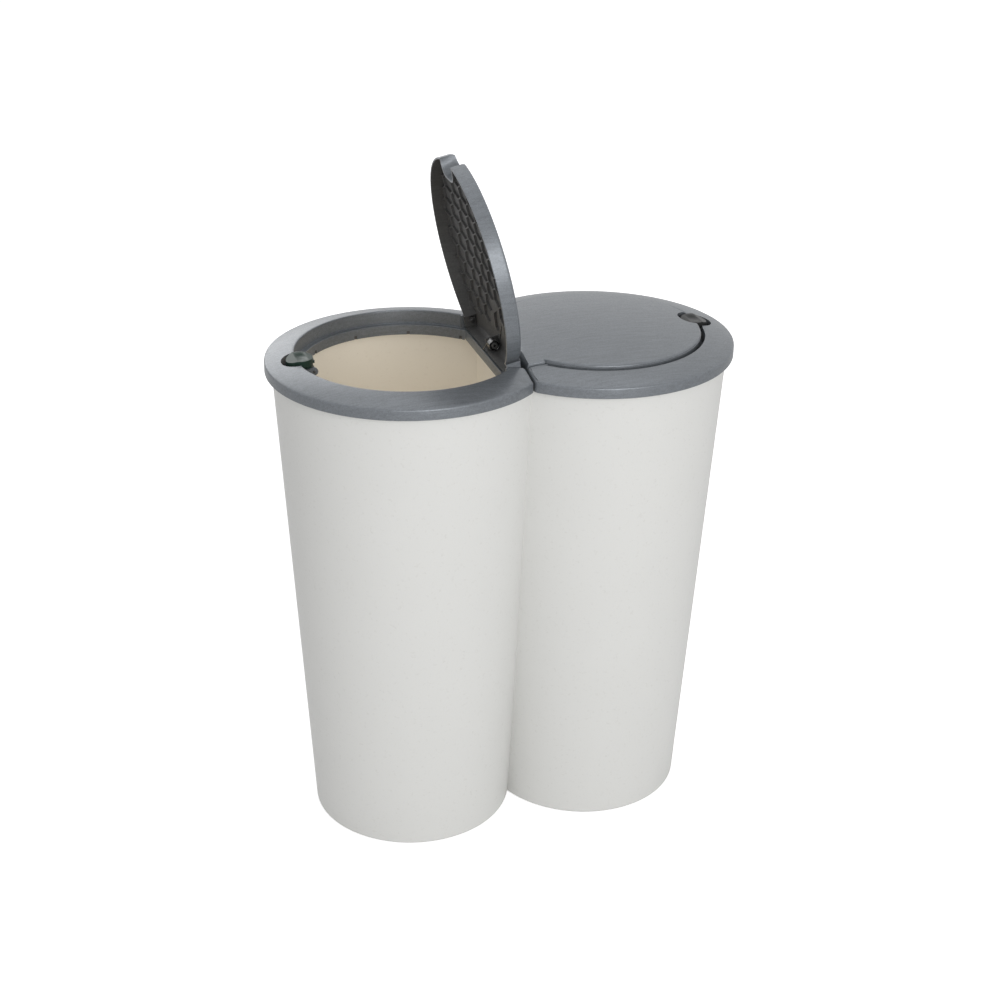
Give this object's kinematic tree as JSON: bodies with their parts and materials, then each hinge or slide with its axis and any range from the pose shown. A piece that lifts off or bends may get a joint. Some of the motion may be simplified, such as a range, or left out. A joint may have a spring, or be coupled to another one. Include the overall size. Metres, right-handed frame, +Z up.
{
  "type": "double recycling bin",
  "caption": "Twin round waste bin: one moulded body with tapered tubs side by side, clip-on rims, sprung domed lids hinged in the middle and rocking latch buttons.",
  "frame": {"origin": "centre of the footprint on the floor, between the two tubs", "axes": "+Z up, +X towards the right-hand tub, -Y towards the front"},
  "size_m": [0.532, 0.314, 0.7856],
  "materials": {
    "tub_plastic": "warm off-white moulded plastic with fine specks",
    "silver_plastic": "silver-grey plastic with fine flow streaks",
    "green_plastic": "dark green satin plastic",
    "dark_plastic": "dark grey satin plastic",
    "spring_steel": "bright spring wire",
    "pin_steel": "plain turned steel"
  },
  "bodies": {
    "bin_body": {"double_tub": "tub_plastic", "left_rim": "silver_plastic", "right_rim": "silver_plastic", "left_front_hinge_pin": "pin_steel", "left_rear_hinge_pin": "pin_steel", "right_front_hinge_pin": "pin_steel", "right_rear_hinge_pin": "pin_steel", "left_button_pin": "pin_steel", "right_button_pin": "pin_steel", "left_button_spring": "spring_steel", "right_button_spring": "spring_steel"},
    "left_lid_leaf": {"left_lid": "silver_plastic", "left_lid_spring": "spring_steel"},
    "right_lid_leaf": {"right_lid": "silver_plastic", "right_lid_spring": "spring_steel"},
    "left_button": {"left_latch_button": "green_plastic"},
    "right_button": {"right_latch_button": "dark_plastic"}
  },
  "joints": [
    {"name": "left_lid_hinge", "type": "hinge", "parent": "bin_body", "child": "left_lid_leaf", "pos_m": [-0.0116, 0, 0.57392], "axis": [0, 1, 0], "range_deg": [-77.6, 0], "stiffness_Nm_per_rad": 0.1, "springref_deg": 34.38, "deforming": ["left_lid_spring"]},
    {"name": "right_lid_hinge", "type": "hinge", "parent": "bin_body", "child": "right_lid_leaf", "pos_m": [0.0116, 0, 0.57392], "axis": [0, -1, 0], "range_deg": [0, 77.6], "deforming": ["right_lid_spring"]},
    {"name": "left_button_pivot", "type": "hinge", "parent": "bin_body", "child": "left_button", "pos_m": [-0.2166, 0, 0.5675], "axis": [0, -1, 0], "range_deg": [0, 12], "stiffness_Nm_per_rad": 0.2, "springref_deg": -5.73, "deforming": ["left_button_spring"]},
    {"name": "right_button_pivot", "type": "hinge", "parent": "bin_body", "child": "right_button", "pos_m": [0.2166, 0, 0.5675], "axis": [0, 1, 0], "range_deg": [0, 12], "stiffness_Nm_per_rad": 0.2, "springref_deg": -5.73, "deforming": ["right_button_spring"]}
  ]
}
